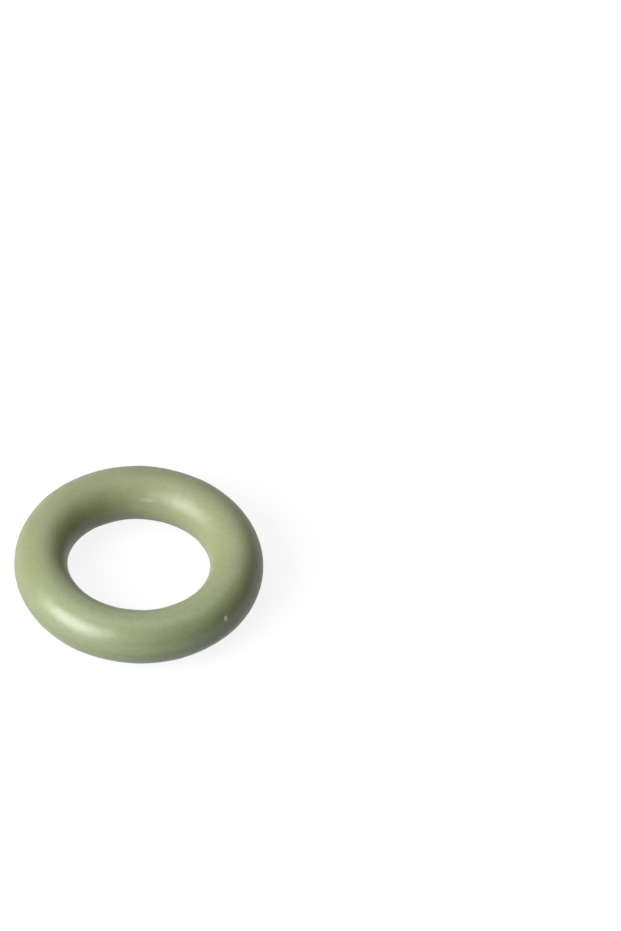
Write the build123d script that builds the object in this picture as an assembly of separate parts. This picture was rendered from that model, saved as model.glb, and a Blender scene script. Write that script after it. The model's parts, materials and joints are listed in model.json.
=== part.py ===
from build123d import *
import os
from math import sqrt

# A moulded O-ring seal: one endless ring of rubber with a round section, lying flat.
# The ring's axis is +Z, and the origin is at the ring's centre, halfway up the section.

# Driving dimensions, in millimetres
INNER_DIAMETER = 8.0  # across the hole, between the parting lands
SECTION_DIAMETER = 3.0  # of the round rubber section, and so the height of the ring
PARTING_LAND = 0.15  # height of the flat left where the mould flash was trimmed flush


def section_width():
    """Width of the section from land to land, which is a hair under its diameter."""
    return sqrt(SECTION_DIAMETER**2 - PARTING_LAND**2)


def ring_section():
    """The round section beside the axis, trimmed flush at the parting line on its inner and outer side."""
    section_centre = (INNER_DIAMETER + section_width()) / 2
    round_section = Circle(SECTION_DIAMETER / 2)
    between_lands = Rectangle(section_width(), SECTION_DIAMETER)
    return Plane.XZ * Pos(section_centre, 0) * (round_section & between_lands)


def o_ring():
    """The whole ring, moulded as one piece: its section turned once round the axis."""
    return revolve(ring_section(), Axis.Z)


os.makedirs("parts", exist_ok=True)
export_step(o_ring(), "parts/o_ring.step")
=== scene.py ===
# The looks of a moulded rubber O-ring: its surface, a plain white floor, soft studio light
# and the photograph's view.
# Lengths are in metres and angles in radians, unless a name or a comment says otherwise.

import json
import math

import bpy
from mathutils import Matrix, Vector


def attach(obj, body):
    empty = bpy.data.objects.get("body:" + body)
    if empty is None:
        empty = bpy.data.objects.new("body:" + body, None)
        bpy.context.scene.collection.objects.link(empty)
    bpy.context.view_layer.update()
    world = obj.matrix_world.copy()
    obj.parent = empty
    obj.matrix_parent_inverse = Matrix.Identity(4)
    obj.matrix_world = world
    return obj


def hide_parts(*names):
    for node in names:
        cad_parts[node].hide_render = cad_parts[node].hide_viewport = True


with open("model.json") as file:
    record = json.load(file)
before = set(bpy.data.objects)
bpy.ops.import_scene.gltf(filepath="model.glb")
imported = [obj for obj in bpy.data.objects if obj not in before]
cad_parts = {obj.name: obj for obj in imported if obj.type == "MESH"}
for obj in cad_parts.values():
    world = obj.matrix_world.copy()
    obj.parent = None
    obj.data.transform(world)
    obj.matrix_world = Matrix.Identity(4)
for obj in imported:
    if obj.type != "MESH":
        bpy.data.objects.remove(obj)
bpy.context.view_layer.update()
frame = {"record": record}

MM = 0.001
MICRON = 0.000001
FULL_TURN = 2 * math.pi

# The ring's sizes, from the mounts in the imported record
MOUNT_SIZES = {mount["name"]: mount["dims"] for mount in frame["record"]["mounts"]}
BORE_RADIUS = MOUNT_SIZES["bore"]["r_mm"] * MM
RIM_RADIUS = MOUNT_SIZES["rim"]["r_mm"] * MM
LAND_HEIGHT = MOUNT_SIZES["rim"]["length_mm"] * MM
PITCH_RADIUS = (RIM_RADIUS + BORE_RADIUS) / 2
HALF_WIDTH = (RIM_RADIUS - BORE_RADIUS) / 2  # of the section, from its centre to a land
SECTION_RADIUS = math.hypot(HALF_WIDTH, LAND_HEIGHT / 2)
LAND_ANGLE = math.asin(LAND_HEIGHT / 2 / SECTION_RADIUS)  # from a land's middle to its edge

# The photograph's view of the ring
PHOTO_WIDTH, PHOTO_HEIGHT = 621, 931  # pixels
RING_CENTRE = (138.8, 564.37)  # pixels from the left and from the top
PITCH_RADIUS_PIXELS = 97.9
CAMERA_ELEVATION = math.radians(47.1)
CAMERA_ROLL = math.radians(2.46)
CAMERA_DISTANCE = 1.1
SENSOR_WIDTH_MM = 36.0

# Places on the ring: a turn round it from +X, and an angle round the section from its outer side,
# where a quarter turn is the top
NIB_PLACE = (math.radians(-41.8), math.radians(30.5))
# the streak is a painted highlight on the far inner wall
STREAK_PLACE = (math.radians(86.2), math.radians(149.0))

# The mesh, with finer steps where the nib is
STEPS_ROUND_RING = 420
STEPS_OVER_CROWN = 58  # from land to land, over the top or underneath
STEPS_OVER_LAND = 2
STEPS_OVER_NIB = 28
NIB_MARGIN = 1.2  # how far from the nib's middle the finer steps reach, in nib radii

# The moulded form: a low nib, and a gentle unevenness of the surface
NIB_RADIUS = 0.21 * MM
NIB_HEIGHT = 0.05 * MM
RIPPLES = (  # waves round the ring, waves round the section, height, phase
    (8, 1, 7.0 * MICRON, 0.4),
    (13, -2, 4.5 * MICRON, 2.1),
    (21, 3, 2.5 * MICRON, 4.0),
    (34, -4, 1.2 * MICRON, 1.3),
)

# The rubber's colours
GREEN_DEEP = (0.282, 0.315, 0.160, 1.0)
GREEN_PALE = (0.308, 0.339, 0.178, 1.0)
# painted light: a lighter, cooler green on the front of the ring, standing in for the light that falls there
GREEN_PAINTED_FRONT_LIGHT = (0.296, 0.349, 0.186, 1.0)
GREEN_MOTTLE = (0.252, 0.277, 0.126, 1.0)
# a pale speck on the nib's tip, partly dust and partly a painted highlight
SPECK_DUST_AND_GLINT_COLOUR = (0.62, 0.63, 0.52, 1.0)
# a faint pale streak on the far inner wall, which is a painted highlight
PAINTED_HIGHLIGHT_STREAK_COLOUR = (0.375, 0.405, 0.235, 1.0)

# Where the colours lie
PAINTED_LIGHT_SIDE = (0.0, -1.0, 0.0)  # direction towards the front, where painted light makes the green lighter and cooler
PAINTED_LIGHT_RANGE = (2.0 * MM, 6.0 * MM)  # along that direction, from the first trace of it to the most
MOTTLE_SHARE = 0.4  # the most of the mottle's green that there is anywhere
LAND_SHARE = 0.35  # how much of the same green the trimmed lands have
LAND_FADE = 0.04 * MM  # above and below a land, where that green fades
SPECK_CORE = 0.3  # how much of the nib's radius has the speck's full colour
STREAK_HALF_LENGTH = 0.65 * MM
STREAK_HALF_WIDTH = 0.16 * MM
STREAK_CORE = 0.2  # how much of the streak's half length and half width has its full colour

# The rubber's gloss
SPECULAR_LEVEL = 0.86
ROUGHNESS_NEAR, ROUGHNESS_FAR = 0.38, 0.50  # the skin is a little glossier at the front than at the back
ROUGHNESS_SPREAD = 0.03

# Noise in the rubber: the size of its features, and the levels of finer detail in them
CLOUDS = (2.2 * MM, 3.0)
MOTTLE = (0.28 * MM, 3.0)
PATCHES = (0.5 * MM, 4.0)
GRAIN = (0.09 * MM, 2.0)
GRAIN_HEIGHT = 4.5 * MICRON
COLOUR_NOISE = (0.35, 0.65)  # the noise values between which a colour changes
GLOSS_NOISE = (0.3, 0.7)  # the noise values between which the gloss changes

# Floor
FLOOR_SIZE = 4.0
FLOOR_COLOUR = (0.05, 0.05, 0.05, 1.0)  # for the light that it throws back
FLOOR_SHADOW_SHARE = 0.15  # how much of the floor's look comes from the light that falls on it
FLOOR_LIGHT = 0.8  # the light at which it looks just white; where it is open it gets a little more
CONTACT_WIDTH = 0.2 * MM  # each side of the line where the ring touches, with the floor's full shade
SHADE_REACH = 0.75 * MM  # from that line to where the full shade has faded
LEVEL_ONLY = (1.0, 1.0, 0.0)  # times a point, leaves out its height
WHITE = (1.0, 1.0, 1.0, 1.0)
PALE = (0.85, 0.85, 0.85, 1.0)

# Lamps: direction seen from the ring (0 is the camera's side, a quarter turn is the right)
LAMP_DISTANCE = 0.4
LAMPS = (  # name, direction in degrees, height in degrees, width, height, watts
    ("key", -58, 31, 0.34, 0.29, 2.60),
    ("overhead", -160, 76, 0.40, 0.32, 0.53),
    ("back", -180, 21, 0.40, 0.30, 0.29),
)
WORLD_LIGHT = 0.005
HORIZON = 0.03  # height of the white band at the world's edge, as the sine of its angle


def section_point(angle):
    """Distance from the axis, and height, of the round section with both sides trimmed flat at the lands."""
    across = SECTION_RADIUS * math.cos(angle)
    across = max(-HALF_WIDTH, min(HALF_WIDTH, across))
    return PITCH_RADIUS + across, SECTION_RADIUS * math.sin(angle)


def smooth_point(turn, angle):
    """The point of the plain ring at a turn round it and an angle round its section."""
    out, up = section_point(angle)
    return Vector((out * math.cos(turn), out * math.sin(turn), up))


def outward(turn, angle):
    """The direction straight out of the surface."""
    return Vector((math.cos(angle) * math.cos(turn), math.cos(angle) * math.sin(turn), math.sin(angle)))


NIB_POINT = smooth_point(*NIB_PLACE)
STREAK_POINT = smooth_point(*STREAK_PLACE)


def ripple(turn, angle):
    """Unevenness of the moulded surface, which dies away at the lands and at the top and bottom."""
    waves = sum(height * math.sin(round_ring * turn + round_section * angle + phase)
                for round_ring, round_section, height, phase in RIPPLES)
    return waves * math.sin(2 * angle) ** 2


def nib(point):
    """Height of the nib over the plain surface."""
    near = 1 - (point - NIB_POINT).length_squared / NIB_RADIUS ** 2
    return NIB_HEIGHT * max(0.0, near) ** 2


def surface_point(turn, angle):
    """The point of the moulded surface."""
    point = smooth_point(turn, angle)
    return point + (ripple(turn, angle) + nib(point)) * outward(turn, angle)


def between(first, last, steps):
    """Evenly spaced values from the first up to, but without, the last."""
    return [first + (last - first) * step / steps for step in range(steps)]


def with_fine_steps(angles, centre, half_width):
    """The angles once round, with those near the centre replaced by a run of finer ones."""
    fine = between(centre - half_width, centre + half_width, STEPS_OVER_NIB)
    coarse = [angle for angle in angles if abs(angle - centre) > half_width]
    return sorted(coarse + fine)


def ring_turns():
    """Turns round the ring at which the mesh has points."""
    turns = between(-math.pi, math.pi, STEPS_ROUND_RING)
    return with_fine_steps(turns, NIB_PLACE[0], NIB_MARGIN * NIB_RADIUS / NIB_POINT.xy.length)


def section_angles():
    """Angles round the section at which the mesh has points, among them both edges of each land."""
    angles = between(-LAND_ANGLE, LAND_ANGLE, STEPS_OVER_LAND)
    angles += between(LAND_ANGLE, math.pi - LAND_ANGLE, STEPS_OVER_CROWN)
    angles += between(math.pi - LAND_ANGLE, math.pi + LAND_ANGLE, STEPS_OVER_LAND)
    angles += between(math.pi + LAND_ANGLE, FULL_TURN - LAND_ANGLE, STEPS_OVER_CROWN)
    return with_fine_steps(angles, NIB_PLACE[1], NIB_MARGIN * NIB_RADIUS / SECTION_RADIUS)


def shares(angles):
    """How far round each angle is, from 0 at the first angle to 1 after a full turn."""
    return [(angle - angles[0]) / FULL_TURN for angle in angles] + [1.0]


def lay_out(mesh, turns, angles):
    """Gives the mesh a flat layout: turns along it and angles across it."""
    along, across = shares(turns), shares(angles)
    corners = []
    for i in range(len(turns)):
        for j in range(len(angles)):
            corners += [along[i], across[j], along[i + 1], across[j]]
            corners += [along[i + 1], across[j + 1], along[i], across[j + 1]]
    mesh.uv_layers.new(name="OFBake").data.foreach_set("uv", corners)


def link(name, data):
    """Puts new data into the scene as an object."""
    made = bpy.data.objects.new(name, data)
    bpy.context.scene.collection.objects.link(made)
    return made


def make_ring():
    """The whole ring as one closed, smooth grid of faces."""
    turns, angles = ring_turns(), section_angles()
    points = [surface_point(turn, angle) for turn in turns for angle in angles]
    faces = []
    for i in range(len(turns)):
        here, after = i * len(angles), (i + 1) % len(turns) * len(angles)
        for j in range(len(angles)):
            above = (j + 1) % len(angles)
            faces.append((here + j, after + j, after + above, here + above))
    mesh = bpy.data.meshes.new("ring")
    mesh.from_pydata(points, [], faces)
    mesh.polygons.foreach_set("use_smooth", [True] * len(faces))
    lay_out(mesh, turns, angles)
    mesh.materials.append(satin_rubber())
    return link("ring", mesh)


def node(tree, kind, inputs, **settings):
    """Adds a node. Each input is either a plain value or the output that feeds it."""
    made = tree.nodes.new("ShaderNode" + kind)
    for name, value in settings.items():
        setattr(made, name, value)
    for name, value in inputs.items():
        if isinstance(value, bpy.types.NodeSocket):
            tree.links.new(value, made.inputs[name])
        else:
            made.inputs[name].default_value = value
    return made


def new_tree(holder):
    """The node tree of a new material or world, emptied."""
    holder.use_nodes = True
    holder.node_tree.nodes.clear()
    return holder.node_tree


def noise(tree, where, size, detail):
    """Cloudy noise with features of about the given size."""
    inputs = {"Vector": where, "Scale": 1 / size, "Detail": detail}
    return node(tree, "TexNoise", inputs).outputs["Fac"]


def remap(tree, value, start, end, first, last):
    """The value with its range from start to end spread over first to last, eased at both ends."""
    inputs = {"Value": value, "From Min": start, "From Max": end, "To Min": first, "To Max": last}
    return node(tree, "MapRange", inputs, interpolation_type="SMOOTHSTEP").outputs["Result"]


def ramp(tree, value, first, last):
    """A colour between two, for a noise value."""
    made = node(tree, "ValToRGB", {"Fac": value})
    for stop, place, colour in zip(made.color_ramp.elements, COLOUR_NOISE, (first, last)):
        stop.position = place
        stop.color = colour
    return made.outputs["Color"]


def tint(tree, share, colour, over):
    """A colour with a share of another one laid over it."""
    return node(tree, "MixRGB", {"Fac": share, "Color1": over, "Color2": colour}).outputs["Color"]


def speck_dust_and_glint_mask(tree, where):
    """Where the pale speck lies, partly dust and partly a painted highlight: 1 on the nib's tip and 0 beyond
    its foot.
    """
    far = node(tree, "VectorMath", {0: where, 1: NIB_POINT}, operation="DISTANCE").outputs["Value"]
    return remap(tree, far, SPECK_CORE * NIB_RADIUS, NIB_RADIUS, 1.0, 0.0)


def painted_highlight_streak_mask(tree, where):
    """Where the painted highlight lies: 1 along the middle of the faint streak on the inner wall and 0 beyond
    it.
    """
    size = (STREAK_HALF_LENGTH, STREAK_HALF_WIDTH, STREAK_HALF_WIDTH)
    lie = (0.0, 0.0, STREAK_PLACE[0] + math.pi / 2)
    inputs = {"Vector": where, "Location": STREAK_POINT, "Rotation": lie, "Scale": size}
    local = node(tree, "Mapping", inputs, vector_type="TEXTURE").outputs["Vector"]
    far = node(tree, "VectorMath", {0: local}, operation="LENGTH").outputs["Value"]
    return remap(tree, far, STREAK_CORE, 1.0, 1.0, 0.0)


def land_share(tree, where):
    """How much of the mottle's green there is for the lands: a trace on them, and none away from them."""
    up = node(tree, "SeparateXYZ", {"Vector": where}).outputs["Z"]
    off = node(tree, "Math", {0: up}, operation="ABSOLUTE").outputs["Value"]
    return remap(tree, off, LAND_HEIGHT / 2, LAND_HEIGHT / 2 + LAND_FADE, LAND_SHARE, 0.0)


def mottle_share(tree, where):
    """How much of the mottle's green there is, in fine blotches all over the ring."""
    return remap(tree, noise(tree, where, *MOTTLE), *COLOUR_NOISE, 0.0, MOTTLE_SHARE)


def painted_front_light_share(tree, where):
    """How much of the painted light's lighter, cooler green there is, rising gently from the back of the ring
    to the front.
    """
    along = node(tree, "VectorMath", {0: where, 1: PAINTED_LIGHT_SIDE}, operation="DOT_PRODUCT").outputs["Value"]
    return remap(tree, along, *PAINTED_LIGHT_RANGE, 0.0, 1.0)


def rubber_colour(tree, where):
    """Sage green in soft clouds, with the mottle and the lands, and with painted light: the lighter, cooler
    front, the streak that is a painted highlight, and the speck that is partly dust and partly a painted
    highlight.
    """
    colour = ramp(tree, noise(tree, where, *CLOUDS), GREEN_DEEP, GREEN_PALE)
    colour = tint(tree, painted_front_light_share(tree, where), GREEN_PAINTED_FRONT_LIGHT, colour)
    colour = tint(tree, mottle_share(tree, where), GREEN_MOTTLE, colour)
    colour = tint(tree, land_share(tree, where), GREEN_MOTTLE, colour)
    colour = tint(tree, painted_highlight_streak_mask(tree, where), PAINTED_HIGHLIGHT_STREAK_COLOUR, colour)
    return tint(tree, speck_dust_and_glint_mask(tree, where), SPECK_DUST_AND_GLINT_COLOUR, colour)


def roughness(tree, where):
    """An uneven gloss, which dulls from the front of the ring to the back."""
    away = node(tree, "SeparateXYZ", {"Vector": where}).outputs["Y"]
    broad = remap(tree, away, -RIM_RADIUS, RIM_RADIUS, ROUGHNESS_NEAR, ROUGHNESS_FAR)
    patches = noise(tree, where, *PATCHES)
    uneven = remap(tree, patches, *GLOSS_NOISE, -ROUGHNESS_SPREAD, ROUGHNESS_SPREAD)
    return node(tree, "Math", {0: broad, 1: uneven}, operation="ADD").outputs["Value"]


def satin_rubber():
    """Sage-green rubber with a satin skin: uneven in tone and gloss, with painted light in its colour, and
    with a fine grain.
    """
    material = bpy.data.materials.new("satin_rubber")
    tree = new_tree(material)
    where = node(tree, "TexCoord", {}).outputs["Object"]
    colour = rubber_colour(tree, where)
    grain = noise(tree, where, *GRAIN)
    bump = node(tree, "Bump", {"Height": grain, "Strength": 1.0, "Distance": GRAIN_HEIGHT})
    inputs = {"Base Color": colour, "Roughness": roughness(tree, where), "Normal": bump.outputs["Normal"]}
    shader = node(tree, "BsdfPrincipled", inputs)
    shader.inputs["Specular IOR Level"].default_value = SPECULAR_LEVEL
    node(tree, "OutputMaterial", {"Surface": shader.outputs["BSDF"]})
    return material


def seen_directly(tree):
    """1 for rays from the camera, a reflection or through glass, and 0 for the light that falls on things."""
    path = node(tree, "LightPath", {}).outputs
    direct = node(tree, "Math", {0: path["Is Camera Ray"], 1: path["Is Glossy Ray"]}, operation="MAXIMUM")
    inputs = {0: direct.outputs["Value"], 1: path["Is Transmission Ray"]}
    return node(tree, "Math", inputs, operation="MAXIMUM").outputs["Value"]


def full_shade(tree):
    """1 on the floor where the ring touches it, and 0 a little way off."""
    where = node(tree, "TexCoord", {}).outputs["Object"]
    level = node(tree, "VectorMath", {0: where, 1: LEVEL_ONLY}, operation="MULTIPLY").outputs["Vector"]
    out = node(tree, "VectorMath", {0: level}, operation="LENGTH").outputs["Value"]
    past = node(tree, "Math", {0: out, 1: PITCH_RADIUS}, operation="SUBTRACT").outputs["Value"]
    off = node(tree, "Math", {0: past}, operation="ABSOLUTE").outputs["Value"]
    return remap(tree, off, CONTACT_WIDTH, SHADE_REACH, 1.0, 0.0)


def white_floor():
    """A floor that looks white, with the ring's soft shadow, and that throws little light back at it."""
    material = bpy.data.materials.new("white_floor")
    tree = new_tree(material)
    plain = node(tree, "BsdfDiffuse", {"Color": FLOOR_COLOUR})
    faint = node(tree, "BsdfDiffuse", {"Color": (FLOOR_SHADOW_SHARE,) * 3 + (1.0,)})
    glow = node(tree, "Emission", {"Color": WHITE, "Strength": 1 - FLOOR_SHADOW_SHARE * FLOOR_LIGHT})
    bright = node(tree, "AddShader", {0: faint.outputs["BSDF"], 1: glow.outputs["Emission"]})
    shaded = node(tree, "BsdfDiffuse", {"Color": PALE})
    inputs = {"Fac": full_shade(tree), 1: bright.outputs["Shader"], 2: shaded.outputs["BSDF"]}
    look = node(tree, "MixShader", inputs)
    inputs = {"Fac": seen_directly(tree), 1: plain.outputs["BSDF"], 2: look.outputs["Shader"]}
    node(tree, "OutputMaterial", {"Surface": node(tree, "MixShader", inputs).outputs["Shader"]})
    return material


def make_floor():
    """A plain floor under the ring."""
    half = FLOOR_SIZE / 2
    mesh = bpy.data.meshes.new("floor")
    corners = [(-half, -half), (half, -half), (half, half), (-half, half)]
    mesh.from_pydata([(x, y, -SECTION_RADIUS) for x, y in corners], [], [(0, 1, 2, 3)])
    mesh.materials.append(white_floor())
    return link("floor", mesh)


def make_camera():
    """A long lens at the photograph's angle, set aside so that the ring lies where the photograph has it."""
    pixel = PITCH_RADIUS / PITCH_RADIUS_PIXELS
    aside = (PHOTO_WIDTH / 2 - RING_CENTRE[0]) * pixel
    above = (RING_CENTRE[1] - PHOTO_HEIGHT / 2) * pixel
    data = bpy.data.cameras.new("camera")
    data.sensor_width = SENSOR_WIDTH_MM
    data.lens = SENSOR_WIDTH_MM * CAMERA_DISTANCE / (PHOTO_HEIGHT * pixel)
    camera = link("camera", data)
    tilt = Matrix.Rotation(math.pi / 2 - CAMERA_ELEVATION, 4, "X")
    roll = Matrix.Rotation(CAMERA_ROLL, 4, "Z")
    camera.matrix_world = tilt @ roll @ Matrix.Translation((aside, above, CAMERA_DISTANCE))
    bpy.context.scene.camera = camera


def make_lamp(name, direction, height, wide, high, watts):
    """A soft rectangular lamp that faces the ring."""
    data = bpy.data.lights.new(name, "AREA")
    data.shape = "RECTANGLE"
    data.size = wide
    data.size_y = high
    data.energy = watts
    lamp = link(name, data)
    turn = Matrix.Rotation(math.radians(direction), 4, "Z")
    tilt = Matrix.Rotation(math.radians(90 - height), 4, "X")
    lamp.matrix_world = turn @ tilt @ Matrix.Translation((0, 0, LAMP_DISTANCE))
    lamp.visible_camera = False


def make_world():
    """A dim room whose edge looks white, so that the floor has no end."""
    world = bpy.data.worlds.new("studio")
    bpy.context.scene.world = world
    tree = new_tree(world)
    towards = node(tree, "TexCoord", {}).outputs["Generated"]
    up = node(tree, "SeparateXYZ", {"Vector": towards}).outputs["Z"]
    low = remap(tree, up, HORIZON, 2 * HORIZON, 1.0, 0.0)
    share = node(tree, "Math", {0: low, 1: seen_directly(tree)}, operation="MULTIPLY").outputs["Value"]
    dim = node(tree, "Background", {"Color": WHITE, "Strength": WORLD_LIGHT})
    edge = node(tree, "Background", {"Color": WHITE, "Strength": 1.0})
    inputs = {"Fac": share, 1: dim.outputs["Background"], 2: edge.outputs["Background"]}
    node(tree, "OutputWorld", {"Surface": node(tree, "MixShader", inputs).outputs["Shader"]})


ring = make_ring()
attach(ring, "root")
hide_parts("o_ring")
floor = make_floor()
make_camera()
for lamp in LAMPS:
    make_lamp(*lamp)
make_world()
bpy.context.scene.view_settings.view_transform = "Standard"
